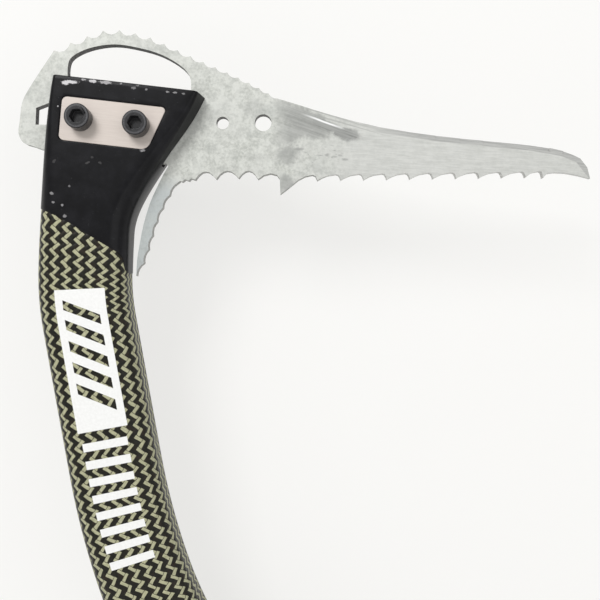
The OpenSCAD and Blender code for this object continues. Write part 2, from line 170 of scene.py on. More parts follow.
def rounded_section(width, thick, radius, arc=8, sides=6, flats=3):
    """Points (u, y, distance round) of a rounded rectangle, u from 0 to width, starting at its front."""
    half = thick / 2
    corners = ((width - radius, half - radius, 0), (radius, half - radius, 90),
               (radius, radius - half, 180), (width - radius, radius - half, 270))
    points = []
    run = 0.0
    for n, (cu, cy, start) in enumerate(corners):
        for k in range(arc + 1):
            a = math.radians(start + 90 * k / arc)
            points.append((cu + radius * math.cos(a), cy + radius * math.sin(a),
                           run + radius * math.radians(90 * k / arc)))
        run += radius * math.pi / 2
        nxt = corners[(n + 1) % 4]
        gap = math.dist((cu, cy), nxt[:2])
        steps = sides if n % 2 == 0 else flats
        a0 = math.radians(start + 90)
        for k in range(1, steps):
            t = k / steps
            points.append((cu + (nxt[0] - cu) * t + radius * math.cos(a0),
                           cy + (nxt[1] - cy) * t + radius * math.sin(a0), run + gap * t))
        run += gap
    return points, run


def cut(obj, solids, operation="DIFFERENCE"):
    """Takes closed solids (verts, faces) out of a piece, or joins them to it, for good."""
    for verts, faces in solids:
        mesh = bpy.data.meshes.new("cutter")
        mesh.from_pydata([placed(v) for v in verts], [], faces)
        fix_normals(mesh)
        tool = bpy.data.objects.new("cutter", mesh)
        bpy.context.scene.collection.objects.link(tool)
        mod = obj.modifiers.new("cut", "BOOLEAN")
        mod.operation = operation
        mod.solver = "EXACT"
        mod.object = tool
        graph = bpy.context.evaluated_depsgraph_get()
        done = bpy.data.meshes.new_from_object(obj.evaluated_get(graph))
        obj.modifiers.clear()
        old = obj.data
        obj.data = done
        bpy.data.meshes.remove(old)
        bpy.data.objects.remove(tool)
        bpy.data.meshes.remove(mesh)
    smooth(obj.data, 32)
    return obj


def prism(outline, stations):
    """A closed solid over a flat x-z outline, by (y, growth) stations, with growth outwards in mm."""
    centre = [sum(p[i] for p in outline) / len(outline) for i in (0, 1)]
    count = len(outline)
    verts = []
    for y, growth in stations:
        for k, (x, z) in enumerate(outline):
            before = Vector(outline[k - 1])
            after = Vector(outline[(k + 1) % count])
            along = (after - before).normalized()
            out = Vector((along.y, -along.x))
            if out.dot(Vector((x - centre[0], z - centre[1]))) < 0:
                out = -out
            verts.append((x + out.x * growth, y, z + out.y * growth))
    return verts, skin_faces(len(stations), count)


def disc(centre, radius, count=48):
    return [(centre[0] + radius * math.cos(2 * math.pi * k / count),
             centre[1] + radius * math.sin(2 * math.pi * k / count)) for k in range(count)]


def through(points, steps):
    """A smooth curve through points, with steps to each stretch."""
    ends = [[2 * a - b for a, b in zip(points[0], points[1])]] + [list(p) for p in points]
    ends.append([2 * a - b for a, b in zip(points[-1], points[-2])])
    curve = []
    for i in range(1, len(points)):
        p, q, r, s = ends[i - 1:i + 3]
        for k in range(steps):
            t = k / steps
            curve.append(tuple(b + (c - a) * t / 2 + (2 * a - 5 * b + 4 * c - d) * t * t / 2
                               + (3 * b - a - 3 * c + d) * t ** 3 / 2 for a, b, c, d in zip(p, q, r, s)))
    curve.append(tuple(points[-1]))
    return curve


def rounded_outline(corners, steps=6):
    """Corners (x, z, radius) joined by straight lines and rounded by arcs."""
    points = []
    for i, (x, z, radius) in enumerate(corners):
        p = Vector((x, z))
        v = (Vector(corners[i - 1][:2]) - p).normalized()
        w = (Vector(corners[(i + 1) % len(corners)][:2]) - p).normalized()
        half = math.acos(v.dot(w)) / 2
        m = p + (v + w).normalized() * radius / math.sin(half)
        e = p + v * radius / math.tan(half) - m
        f = p + w * radius / math.tan(half) - m
        a1 = math.atan2(e.y, e.x)
        turn = (math.atan2(f.y, f.x) - a1 + 3 * math.pi) % (2 * math.pi) - math.pi
        for k in range(steps + 1):
            a = a1 + turn * k / steps
            points.append((m.x + radius * math.cos(a), m.y + radius * math.sin(a)))
    return points


# ---- material helpers ----
class Paint:
    """A material made of shader nodes. Positions are in mm in the head's frame."""

    def __init__(self, name):
        self.mat = bpy.data.materials.new(name)
        self.mat.use_nodes = True
        self.tree = self.mat.node_tree
        self.tree.nodes.clear()
        self.out = self.tree.nodes.new("ShaderNodeOutputMaterial")
        self.shader = None
        self._spot = None

    def put(self, socket, value):
        if isinstance(value, bpy.types.NodeSocket):
            self.tree.links.new(value, socket)
        elif isinstance(value, (tuple, list)) and len(value) == 3 and socket.type == "RGBA":
            socket.default_value = (*value, 1)
        else:
            socket.default_value = value

    def node(self, kind, inputs=(), **settings):
        n = self.tree.nodes.new("ShaderNode" + kind)
        for key, value in settings.items():
            setattr(n, key, value)
        for key, value in dict(inputs).items():
            self.put(n.inputs[key], value)
        return n

    def calc(self, op, a, b=0.0, c=0.0):
        n = self.node("Math", {0: a, 1: b, 2: c}, operation=op)
        return n.outputs[0]

    def step(self, value, low, high):
        """0 below low, 1 above high, smooth between."""
        n = self.node("MapRange", {"Value": value, "From Min": low, "From Max": high},
                      interpolation_type="SMOOTHSTEP")
        return n.outputs["Result"]

    def spot(self):
        """The position in mm in the head's frame."""
        if self._spot is None:
            geo = self.node("TexCoord").outputs["Object"]
            mm = self.node("VectorMath", {0: geo, 1: (1000, 1000, 1000)}, operation="MULTIPLY").outputs[0]
            shift = (ORIGIN[0], 0, ORIGIN[2])
            self._spot = self.node("VectorMath", {0: mm, 1: shift}, operation="ADD").outputs[0]
        return self._spot

    def axes(self, vector=None):
        n = self.node("SeparateXYZ", {0: vector or self.spot()})
        return n.outputs[0], n.outputs[1], n.outputs[2]

    def scaled(self, factors):
        return self.node("VectorMath", {0: self.spot(), 1: factors}, operation="MULTIPLY").outputs[0]

    def noise(self, scale, detail=3.0, rough=0.5, vector=None):
        """Noise with about scale grains in a mm."""
        n = self.node("TexNoise", {"Vector": vector or self.spot(), "Scale": scale, "Detail": detail,
                                   "Roughness": rough})
        return n.outputs["Fac"]

    def mix(self, factor, a, b):
        n = self.node("Mix", data_type="RGBA")
        self.put(n.inputs[0], factor)
        self.put(n.inputs[6], a)
        self.put(n.inputs[7], b)
        return n.outputs[2]

    def blend(self, factor, a, b):
        n = self.node("Mix", data_type="FLOAT")
        self.put(n.inputs[0], factor)
        self.put(n.inputs[2], a)
        self.put(n.inputs[3], b)
        return n.outputs[0]

    def bump(self, height, depth, normal=None):
        """A bump of depth mm for a height from 0 to 1."""
        inputs = {"Height": height, "Strength": 1.0, "Distance": depth * MM}
        if normal is not None:
            inputs["Normal"] = normal
        return self.node("Bump", inputs).outputs[0]

    def side(self):
        """1 on faces that look along Y, 0 on the cut edges."""
        normal = self.node("NewGeometry").outputs["True Normal"]
        y = self.calc("ABSOLUTE", self.axes(normal)[1])
        return self.step(y, 0.6, 0.85)

    def near(self, x, z, rx, rz, ragged=None, amount=0.35, core=0.85, degrees=0.0):
        """1 inside an ellipse about (x, z), turned by degrees, fading out from core of its size."""
        px, _, pz = self.axes()
        cos, sin = math.cos(math.radians(degrees)), math.sin(math.radians(degrees))
        ox, oz = self.calc("SUBTRACT", px, x), self.calc("SUBTRACT", pz, z)
        along = self.calc("ADD", self.calc("MULTIPLY", ox, cos), self.calc("MULTIPLY", oz, sin))
        across = self.calc("SUBTRACT", self.calc("MULTIPLY", oz, cos), self.calc("MULTIPLY", ox, sin))
        dx = self.calc("DIVIDE", along, rx)
        dz = self.calc("DIVIDE", across, rz)
        squares = self.calc("ADD", self.calc("MULTIPLY", dx, dx), self.calc("MULTIPLY", dz, dz))
        far = self.calc("SQRT", squares)
        if ragged is not None:
            shift = self.calc("MULTIPLY", self.calc("SUBTRACT", ragged, 0.5), amount * 4)
            far = self.calc("ADD", far, shift)
        return self.calc("SUBTRACT", 1.0, self.step(far, core, 1.0))

    def finish(self, color, rough, metal=0.0, normal=None, coat=0.0, specular=0.5, coat_rough=0.1):
        shader = self.node("BsdfPrincipled")
        self.shader = shader
        self.put(shader.inputs["Base Color"], color)
        self.put(shader.inputs["Roughness"], rough)
        self.put(shader.inputs["Metallic"], metal)
        self.put(shader.inputs["Specular IOR Level"], specular)
        self.put(shader.inputs["Coat Weight"], coat)
        self.put(shader.inputs["Coat Roughness"], coat_rough)
        if normal is not None:
            self.put(shader.inputs["Normal"], normal)
        self.tree.links.new(shader.outputs[0], self.out.inputs[0])
        return self.mat


def line_side(p, x1, z1, x2, z2):
    """Signed distance in mm to the right of the line from (x1, z1) to (x2, z2)."""
    length = math.dist((x1, z1), (x2, z2))
    nx, nz = (z2 - z1) / length, -(x2 - x1) / length
    px, _, pz = p.axes()
    return p.calc("ADD", p.calc("MULTIPLY", p.calc("SUBTRACT", px, x1), nx),
                  p.calc("MULTIPLY", p.calc("SUBTRACT", pz, z1), nz))


def steel_plate():
    """Zinc-grey plate: mottling, a ground zone at the blade's root darkened partly with painted shade, a
    painted highlight streak, a ground bevel with painted shade and cut edges with painted shade.
    """
    p = Paint("steel_plate")
    clouds = p.noise(0.07, 4, 0.6)
    patches = p.noise(0.32, 5, 0.7)
    mottle = p.noise(0.9, 5, 0.7)
    grain = p.noise(3.0, 3, 0.6)
    base = p.mix(p.step(mottle, 0.32, 0.68), (0.42, 0.432, 0.40), (0.59, 0.60, 0.562))
    base = p.mix(p.calc("MULTIPLY", p.step(patches, 0.44, 0.62), 0.55), base, (0.69, 0.70, 0.66))
    base = p.mix(p.calc("MULTIPLY", p.step(patches, 0.44, 0.32), 0.50), base, (0.37, 0.385, 0.36))
    base = p.mix(p.calc("MULTIPLY", p.step(clouds, 0.42, 0.66), 0.35), base, (0.62, 0.625, 0.595))
    base = p.mix(p.calc("MULTIPLY", p.step(grain, 0.55, 0.75), 0.30), base, (0.28, 0.29, 0.275))
    stain = p.step(p.noise(0.05, 5, 0.7, p.scaled((1, 1, 1.6))), 0.50, 0.68)
    base = p.mix(p.calc("MULTIPLY", stain, 0.35), base, (0.36, 0.375, 0.36))
    px, py, pz = p.axes()
    blade = p.step(px, 78, 104)
    polished = p.noise(1.0, 5, 0.65, turned(p, -4, (0.14, 1.5)))
    blade_tone = p.mix(p.step(polished, 0.34, 0.66), (0.53, 0.535, 0.512), (0.64, 0.643, 0.62))
    base = p.mix(p.calc("MULTIPLY", blade, 0.72), base, blade_tone)
    # darker ground zone under the top edge at the blade's root, partly ground finish and partly painted
    # shade of its slope, with soft lobes and streaks along it
    ragged = p.noise(0.25, 5, 0.7)
    streaks = p.noise(1.0, 5, 0.6, turned(p, -20, (0.05, 1.7)))
    ground = 0.0
    for x, z, rx, rz, degrees, share in GROUND:
        lobe = p.calc("MULTIPLY", p.near(x, z, rx, rz, ragged, 0.3, 0.5, degrees), share)
        ground = p.calc("MAXIMUM", ground, lobe)
    start = p.calc("ADD", px, p.calc("MULTIPLY", ragged, 6.0))
    ground = p.calc("MULTIPLY", ground, p.step(start, 65, 78))
    ground_shade_tone = p.mix(p.step(streaks, 0.3, 0.7), (0.235, 0.24, 0.228), (0.37, 0.375, 0.36))
    base = p.mix(ground, base, ground_shade_tone)
    wobble = p.calc("MULTIPLY", p.calc("SUBTRACT", p.noise(0.12, 4, 0.6), 0.5), 0.5)
    off_line = p.calc("ABSOLUTE", p.calc("ADD", line_side(p, 77.0, 6.3, 97.0, -0.9), wobble))
    glint = p.calc("SUBTRACT", 1.0, p.step(off_line, 0.10, 0.65))
    glint = p.calc("MULTIPLY", glint, p.calc("MULTIPLY", p.step(px, 77, 86), p.calc(
        "SUBTRACT", 1.0, p.step(px, 90, 97))))
    base = p.mix(p.calc("MULTIPLY", glint, 0.95), base, (0.93, 0.935, 0.93))
    # grinding lines between the streak and the top edge
    above = p.calc("MULTIPLY", p.step(line_side(p, 77.0, 6.3, 112.0, -3.0), 0.4, -0.6), p.calc(
        "MULTIPLY", p.step(px, 74, 82), p.calc("SUBTRACT", 1.0, p.step(px, 104, 118))))
    lines = p.step(p.noise(1.0, 3, 0.6, turned(p, -16, (0.03, 1.5))), 0.42, 0.62)
    base = p.mix(p.calc("MULTIPLY", p.calc("MULTIPLY", above, lines), 0.65), base, (0.36, 0.365, 0.35))
    # the spur has a cooler, darker sheen
    spur = p.calc("MULTIPLY", p.step(px, 30, 22), p.step(pz, -18, -28))
    base = p.mix(p.calc("MULTIPLY", spur, p.blend(patches, 0.2, 0.9)), base, (0.40, 0.445, 0.46))
    # soft scuffs, and short dark strokes scattered over the root
    for x, z, rx, rz, share in SCUFFS:
        spot = p.near(x, z, rx, rz, ragged, 0.4, 0.3)
        base = p.mix(p.calc("MULTIPLY", spot, share), base, (0.27, 0.275, 0.265))
    strokes = p.step(p.noise(1.0, 3, 0.6, turned(p, -6, (0.45, 1.3))), 0.60, 0.68)
    zone = p.near(86, -10.5, 17, 5.5, ragged, 0.4, 0.3)
    base = p.mix(p.calc("MULTIPLY", p.calc("MULTIPLY", strokes, zone), 0.55), base, (0.24, 0.245, 0.235))
    # the bevel along the blade's top and round the tip's front, darkened as painted shade of its tilt, with
    # its own grinding lines
    depth = 0.0
    for k, (a, b) in enumerate(zip(BLADE_TOP, BLADE_TOP[1:])):
        below = line_side(p, *a, *b)
        depth = below if k == 0 else p.calc("MAXIMUM" if k < 3 else "MINIMUM", depth, below)
    bevel = p.calc("MULTIPLY", p.step(depth, 2.5, 2.1), p.step(px, 104, 120))
    bevel_lines = p.noise(1.0, 3, 0.6, turned(p, -8, (0.08, 3.0)))
    bevel_shade_tone = p.mix(p.step(bevel_lines, 0.3, 0.7), (0.37, 0.373, 0.36), (0.50, 0.503, 0.485))
    base = p.mix(bevel, base, bevel_shade_tone)
    # cut edges with lines across the plate: painted shade on the upper edges, darkest in the crescent
    # opening, paler on the lower edges and the teeth
    lines = p.noise(1.0, 2, 0.5, p.scaled((2.6, 0.25, 2.6)))
    shaded_edge = p.mix(p.step(lines, 0.35, 0.7), (0.08, 0.078, 0.074), (0.20, 0.197, 0.19))
    low_edge = p.mix(p.step(lines, 0.35, 0.7), (0.26, 0.26, 0.245), (0.42, 0.42, 0.40))
    tooth_edge = p.mix(p.step(lines, 0.35, 0.7), (0.48, 0.48, 0.46), (0.64, 0.64, 0.62))
    darkest_edge = p.mix(p.step(lines, 0.35, 0.7), (0.02, 0.02, 0.019), (0.065, 0.063, 0.06))
    shaded_edge = p.mix(p.near(5.5, 17, 30, 21), shaded_edge, darkest_edge)
    edge = p.mix(p.step(pz, -3, -9), shaded_edge, p.mix(p.step(px, 82, 92), low_edge, tooth_edge))
    base = p.mix(p.side(), edge, base)
    rough = p.blend(ground, p.blend(mottle, 0.50, 0.66), 0.40)
    height = p.calc("ADD", p.calc("MULTIPLY", grain, 0.6), p.calc("MULTIPLY", p.calc(
        "MULTIPLY", streaks, ground), 0.8))
    return p.finish(base, rough, 0.35, p.bump(height, 0.05))


# the blade's top edge from its root to the tip, as x, z
BLADE_TOP = ((110.7, 0.3), (134.1, -3.2), (154.1, -5.2), (174.1, -7.2), (187.5, -9.6), (194.4, -12.4),
             (197.6, -16.4))
# x, z, half length, half height, slope in degrees and strength
GROUND = ((79.0, 2.8, 18.0, 6.4, -21, 0.80), (72.5, 1.8, 8.5, 9.5, 0, 0.70),
          (82.0, -0.2, 12.0, 5.4, -8, 0.75), (96.0, -2.4, 8.0, 3.3, -12, 1.0),
          (88.0, 1.0, 10.0, 3.0, -21, 0.95), (70.5, 8.6, 7.5, 3.6, -24, 0.75))
SCUFFS = ((72.8, -11.8, 7.0, 5.8, 0.55), (71.0, -23.0, 5.0, 5.5, 0.50), (77.0, -8.8, 3.5, 0.7, 0.6),
          (70.0, -5.5, 6.0, 5.0, 0.25), (85.8, -11.5, 1.6, 0.5, 0.6), (88.4, -11.3, 1.4, 0.8, 0.6),
          (91.8, -12.0, 1.6, 0.5, 0.5), (94.0, -11.5, 1.3, 0.5, 0.5), (96.4, -13.2, 1.6, 0.6, 0.5),
          (57.0, 8.5, 6.5, 4.5, 0.22), (58.0, -12.5, 6.0, 2.6, 0.18), (101.0, -4.8, 7.0, 1.0, 0.2))


def turned(p, degrees, factors):
    """The position turned in the x-z plane, then scaled along and across."""
    a = math.radians(degrees)
    px, py, pz = p.axes()
    along = p.calc("ADD", p.calc("MULTIPLY", px, math.cos(a)), p.calc("MULTIPLY", pz, math.sin(a)))
    across = p.calc("SUBTRACT", p.calc("MULTIPLY", pz, math.cos(a)), p.calc("MULTIPLY", px, math.sin(a)))
    n = p.node("CombineXYZ", {0: p.calc("MULTIPLY", along, factors[0]),
                              1: p.calc("MULTIPLY", across, factors[1]), 2: py})
    return n.outputs[0]


# x, z, half length, half height, slope in degrees and lightness
CHIPS = ((-15.7, 16.2, 3.5, 0.85, -2, 0.62), (-17.6, 15.8, 1.5, 0.9, -10, 0.62),
         (-10.2, 17.2, 1.0, 0.45, 0, 0.35), (-6.5, 16.5, 1.7, 0.75, -6, 0.55),
         (-1.4, 16.0, 2.5, 0.75, -6, 0.38), (4.9, 15.5, 0.6, 0.45, 0, 0.25),
         (10.0, 13.8, 1.0, 0.6, 0, 0.18), (11.8, 14.8, 0.7, 0.4, 0, 0.15),
         (15.2, 13.2, 0.6, 0.5, 0, 0.22), (23.8, 12.2, 0.8, 0.4, -6, 0.25),
         (26.8, 11.9, 1.1, 0.4, -6, 0.25), (30.2, 11.4, 0.7, 0.4, 0, 0.20),
         (5.3, -9.5, 1.9, 0.45, -6, 0.50), (13.7, -11.5, 1.1, 0.7, 0, 0.25),
         (-20.5, 6.4, 0.4, 0.35, 0, 0.40), (-8.5, -16.4, 1.0, 0.5, 20, 0.06),
         (-6.7, -14.2, 0.6, 0.5, 0, 0.05), (-3.4, -16.5, 0.9, 0.5, -30, 0.05),
         (-22.0, -15.8, 1.1, 0.6, 40, 0.05), (-15.8, -25.9, 0.6, 0.5, 0, 0.16),
         (-23.0, -28.8, 0.9, 0.55, -20, 0.22), (-22.4, -32.4, 0.7, 0.5, 0, 0.22),
         (-18.7, -33.6, 0.6, 0.6, 0, 0.25), (-17.7, -38.0, 0.8, 0.7, 0, 0.22))


def black_shell():
    p = Paint("black_shell")
    cloud = p.noise(0.16, 4, 0.6)
    fine = p.noise(2.6, 3, 0.55)
    ragged = p.noise(1.7, 4, 0.75)
    base = p.mix(p.step(cloud, 0.35, 0.75), (0.0045, 0.0045, 0.0055), (0.010, 0.010, 0.012))
    scuff = p.calc("MULTIPLY", p.step(p.noise(1.0, 4, 0.7, turned(p, -12, (0.25, 1.3))), 0.60, 0.74),
                   p.step(p.noise(0.09, 2), 0.48, 0.62))
    base = p.mix(p.calc("MULTIPLY", scuff, 0.30), base, (0.06, 0.06, 0.064))
    _, py, _ = p.axes()
    facing = p.step(p.calc("MULTIPLY", py, -1.0), 9.5, 11.0)
    chips = 0.0
    for x, z, rx, rz, degrees, light in CHIPS:
        chip = p.calc("MULTIPLY", p.near(x, z, rx, rz, ragged, 0.55, 0.75, degrees), facing)
        base = p.mix(chip, base, (light, light * 0.98, light))
        chips = p.calc("MAXIMUM", chips, chip)
    specks = p.step(p.noise(1.3, 3, 0.65), 0.69, 0.74)
    base = p.mix(p.calc("MULTIPLY", specks, 0.5), base, (0.10, 0.10, 0.105))
    rough = p.blend(chips, p.blend(fine, 0.30, 0.42), 0.7)
    height = p.calc("SUBTRACT", p.calc("MULTIPLY", fine, 0.5), p.calc("MULTIPLY", chips, 1.2))
    return p.finish(base, rough, 0.0, p.bump(height, 0.045), 0.08, 0.12, 0.10)


def bearing_plate():
    p = Paint("bearing_plate")
    brushed = p.noise(1.0, 4, 0.6, turned(p, -6.5, (0.12, 3.0)))
    cloud = p.noise(0.12, 3)
    base = p.mix(p.step(brushed, 0.3, 0.7), (0.545, 0.485, 0.44), (0.59, 0.53, 0.485))
    base = p.mix(p.calc("MULTIPLY", p.step(cloud, 0.45, 0.7), 0.3), base, (0.62, 0.55, 0.50))
    return p.finish(base, p.blend(brushed, 0.38, 0.5), 0.25, p.bump(brushed, 0.02))


BOLTS = [(reach * math.cos(math.radians(BOLT_TILT)), -reach * math.sin(math.radians(BOLT_TILT)))
         for reach in (-BOLT_SPACING / 2, BOLT_SPACING / 2)]
# radius in mm and sharpness of the two circles that bound the painted highlight ring on a bolt's head
RIM_HIGHLIGHT = ((4.15, 0.9), (4.75, 0.92))


def black_steel():
    """Blackened steel, with a painted highlight ring on the chamfered rims of the two bolt heads."""
    p = Paint("black_steel")
    fine = p.noise(3.0, 3)
    base = p.mix(p.step(p.noise(0.5, 3), 0.35, 0.7), (0.008, 0.008, 0.009), (0.022, 0.022, 0.024))
    for x, z in BOLTS:
        inner, outer = (p.near(x, z, r, r, None, 0, core) for r, core in RIM_HIGHLIGHT)
        # painted highlight standing in for the light caught by each bolt head's chamfered rim
        ring = p.calc("SUBTRACT", outer, inner)
        base = p.mix(p.calc("MULTIPLY", ring, p.blend(fine, 0.3, 0.9)), base, (0.10, 0.10, 0.105))
    return p.finish(base, p.blend(fine, 0.22, 0.36), 0.3, p.bump(fine, 0.02))


def zinc_steel():
    p = Paint("zinc_steel")
    fine = p.noise(1.6, 3)
    base = p.mix(p.step(p.noise(0.4, 3), 0.3, 0.7), (0.50, 0.51, 0.53), (0.68, 0.69, 0.70))
    return p.finish(base, p.blend(fine, 0.24, 0.38), 0.9, p.bump(fine, 0.02))


def insert_alloy():
    p = Paint("insert_alloy")
    lines = p.noise(1.0, 3, 0.6, p.scaled((0.3, 3.0, 2.4)))
    base = p.mix(p.step(lines, 0.3, 0.7), (0.42, 0.42, 0.43), (0.60, 0.60, 0.61))
    return p.finish(base, p.blend(lines, 0.32, 0.45), 0.9, p.bump(lines, 0.03))


def anodised():
    p = Paint("anodised")
    lines = p.noise(1.0, 3, 0.6, p.scaled((0.5, 0.5, 2.4)))
    base = p.mix(p.step(lines, 0.3, 0.7), (0.055, 0.056, 0.060), (0.10, 0.10, 0.108))
    return p.finish(base, p.blend(lines, 0.30, 0.42), 0.85, p.bump(lines, 0.02))


def black_nylon():
    p = Paint("black_nylon")
    grain = p.noise(2.2, 4, 0.65)
    base = p.mix(p.step(p.noise(0.1, 3), 0.35, 0.7), (0.020, 0.020, 0.022), (0.036, 0.036, 0.039))
    base = p.mix(p.calc("MULTIPLY", p.step(grain, 0.6, 0.75), 0.3), base, (0.07, 0.07, 0.074))
    return p.finish(base, p.blend(grain, 0.42, 0.60), 0.0, p.bump(grain, 0.07))


def grip_rubber():
    p = Paint("grip_rubber")
    grain = p.noise(1.5, 4, 0.6)
    dust = p.step(p.noise(0.16, 4, 0.6), 0.55, 0.8)
    base = p.mix(p.calc("MULTIPLY", dust, 0.35), (0.018, 0.018, 0.019), (0.10, 0.10, 0.098))
    return p.finish(base, p.blend(grain, 0.62, 0.85), 0.0, p.bump(grain, 0.08))


TOW = 1.72


def woven_composite():
    """Two by two twill of dark and pale tows at 45 degrees to the shaft, under clear resin."""
    p = Paint("woven_composite")
    uv = p.node("UVMap", uv_map="weave").outputs[0]
    sway = p.node("TexNoise", {"Vector": p.spot(), "Scale": 0.12, "Detail": 2.0}).outputs["Color"]
    sway = p.node("VectorMath", {0: sway, 1: (0.5, 0.5, 0.5)}, operation="SUBTRACT").outputs[0]
    sway = p.node("VectorMath", {0: sway, 1: (2.2, 2.2, 0)}, operation="MULTIPLY").outputs[0]
    u, v, _ = p.axes(p.node("VectorMath", {0: uv, 1: sway}, operation="ADD").outputs[0])
    pitch = math.sqrt(2) * TOW
    a = p.calc("DIVIDE", p.calc("ADD", v, u), pitch)
    b = p.calc("DIVIDE", p.calc("SUBTRACT", v, u), pitch)
    i, j = p.calc("FLOOR", a), p.calc("FLOOR", b)
    fa, fb = p.calc("FRACT", a), p.calc("FRACT", b)
    phase = p.calc("FLOORED_MODULO", p.calc("ADD", i, j), 4.0)
    on_top = p.calc("LESS_THAN", phase, 1.5)
    index = p.blend(on_top, j, i)
    across = p.blend(on_top, fb, fa)
    along = p.blend(on_top, p.calc("ADD", p.calc("SUBTRACT", phase, 2.0), fa), p.calc("ADD", phase, fb))
    pale = p.calc("LESS_THAN", p.calc("FLOORED_MODULO", index, 2.0), 0.5)
    bulge = p.calc("SINE", p.calc("MULTIPLY", across, math.pi))
    arch = p.calc("SINE", p.calc("MULTIPLY", along, math.pi / 2))
    height = p.calc("MULTIPLY", p.calc("POWER", bulge, 0.6), p.calc("POWER", p.calc("ABSOLUTE", arch), 0.35))
    strands = p.node("TexNoise", {"Vector": p.node("CombineXYZ", {
        0: p.calc("MULTIPLY", across, 9.0), 1: p.calc("ADD", along, p.calc("MULTIPLY", index, 3.7)),
        2: index}).outputs[0], "Scale": 1.0, "Detail": 2.0}).outputs["Fac"]
    light = p.mix(p.step(strands, 0.3, 0.7), (0.30, 0.30, 0.185), (0.50, 0.49, 0.325))
    dark = p.mix(p.step(strands, 0.3, 0.7), (0.006, 0.006, 0.005), (0.020, 0.019, 0.013))
    dark = p.mix(p.calc("MULTIPLY", p.step(p.noise(0.35, 3), 0.5, 0.7), 0.6), dark, (0.030, 0.020, 0.013))
    # a pale tow is a little narrower than its dark neighbours and stays pale where it dives
    middle = p.step(p.calc("ABSOLUTE", p.calc("SUBTRACT", across, 0.5)), 0.43, 0.33)
    color = p.mix(p.calc("MULTIPLY", pale, middle), dark, light)
    rough = p.blend(pale, 0.36, 0.50)
    return p.finish(color, rough, 0.0, p.bump(height, 0.16), 0.05, 0.16, 0.15)


def white_film():
    p = Paint("white_film")
    grain = p.noise(0.9, 4, 0.6)
    base = p.mix(p.step(grain, 0.35, 0.7), (0.83, 0.83, 0.815), (0.88, 0.88, 0.868))
    worn = p.step(p.noise(0.8, 4, 0.75), 0.70, 0.76)
    base = p.mix(p.calc("MULTIPLY", worn, 0.12), base, (0.30, 0.30, 0.24))
    return p.finish(base, 0.45, 0.0, p.bump(grain, 0.02))


PAINTS = {"steel_plate": steel_plate, "black_shell": black_shell, "insert_alloy": insert_alloy,
          "bearing_plate": bearing_plate, "black_steel": black_steel, "zinc_steel": zinc_steel,
          "woven_composite": woven_composite, "white_film": white_film, "grip_rubber": grip_rubber,
          "black_nylon": black_nylon, "anodised": anodised}
MATERIALS = {name: make() for name, make in PAINTS.items()}


def dress(obj, slot):
    obj.data.materials.clear()
    obj.data.materials.append(MATERIALS[slot])
    return obj


def soften(obj, width, degrees=32, segments=2):
    """Rounds the sharp edges of a CAD node as real machining leaves them, without moving its vertices."""
    weld = obj.modifiers.new("weld", "WELD")
    weld.merge_threshold = 2e-6
    flat = obj.modifiers.new("flat", "DECIMATE")
    flat.decimate_type = "DISSOLVE"
    flat.angle_limit = math.radians(0.5)
    bevel = obj.modifiers.new("bevel", "BEVEL")
    bevel.width = width * MM
    bevel.segments = segments
    bevel.limit_method = "ANGLE"
    bevel.angle_limit = math.radians(degrees)
    bevel.use_clamp_overlap = True
    bevel.harden_normals = False
    bevel.miter_outer = "MITER_ARC"
    smooth(obj.data, degrees)
    normals = obj.modifiers.new("normals", "WEIGHTED_NORMAL")
    normals.keep_sharp = True


# ---- the black head shell ----
HEAD_TOP_WIDTH = 61.5
FLARE_LEN = 62.0
FLARE_SWELL = 1.45
TOP_TURN = 4.0
TURN_LEN = 50.0
TOP_ROUND = 1.8
TOP_DRAFT = 2.4
SHELL_WALL = 2.0
WINDOW = ((-19, 10.8, 2.2), (23.5, 6, 1.6), (15.4, -11.2, 4), (-20.6, -7, 2.2))
LAP = through([(-36, -31.4), (-26.1, -35.6), (-17.6, -39.6), (-5.1, -47.3), (3.2, -52.6), (5, -55.6),
               (5.8, -60.5), (12, -70)], 6)
SLOT = 2.2


def head_width(s):
    t = min(1.0, s / FLARE_LEN)
    return SHAFT_DEPTH + (HEAD_TOP_WIDTH - SHAFT_DEPTH) * (1 - t) ** 2 * (1 + FLARE_SWELL * t)


def head_round(s):
    t = min(1.0, s / FLARE_LEN)
    return TOP_ROUND + (SHAFT_ROUND - TOP_ROUND) * t * t * (3 - 2 * t)


def head_turn(s):
    return TOP_TURN * (1 - min(1.0, s / TURN_LEN)) ** 2


def head_section(s, inset, arc=8, sides=14, flats=4):
    """Points (u, y) of the head's section; its front falls back towards both sides near the top."""
    width = head_width(s) - 2 * inset
    points, _ = rounded_section(width, SHAFT_THICK - 2 * inset, max(1.2, head_round(s) - inset),
                                arc, sides, flats)
    fall = TOP_DRAFT * (1 - min(1.0, s / FLARE_LEN)) / (SHAFT_THICK / 2 - inset)
    return [(inset + u * (1 - fall * abs(y) / width), y) for u, y, _ in points]


def head_point(s, column, inset):
    u, y = head_section(s, inset)[column]
    x, z = shaft_at(s, u, head_turn(s))
    return x, y, z


def below_lap(x, z):
    """How far (x, z) lies beyond the slanted joint, by the nearest stretch of its curve."""
    best = None
    for (x1, z1), (x2, z2) in zip(LAP, LAP[1:]):
        dx, dz = x2 - x1, z2 - z1
        t = max(0.0, min(1.0, ((x - x1) * dx + (z - z1) * dz) / (dx * dx + dz * dz)))
        gap = math.dist((x, z), (x1 + t * dx, z1 + t * dz))
        side = (z - z1) * dx - (x - x1) * dz
        if best is None or gap < best[0]:
            best = (gap, side)
    return best[0] if best[1] < 0 else -best[0]


PROUD = 0.2
RIM_ROUND = 0.55
WINDOW_ROUND = 0.5


def smoothstep(value, low, high):
    t = max(0.0, min(1.0, (value - low) / (high - low)))
    return t * t * (3 - 2 * t)


def proud_by(s):
    """The shell stands slightly proud of the tube where it laps over it."""
    return PROUD * smoothstep(s, 15, 40)


def lap_length(column):
    """The distance down the head at which a column of its skin meets the joint."""
    low, high = 30.0, 95.0
    for _ in range(22):
        mid = (low + high) / 2
        x, _, z = head_point(mid, column, 0)
        if below_lap(x, z) > 0:
            high = mid
        else:
            low = mid
    return low


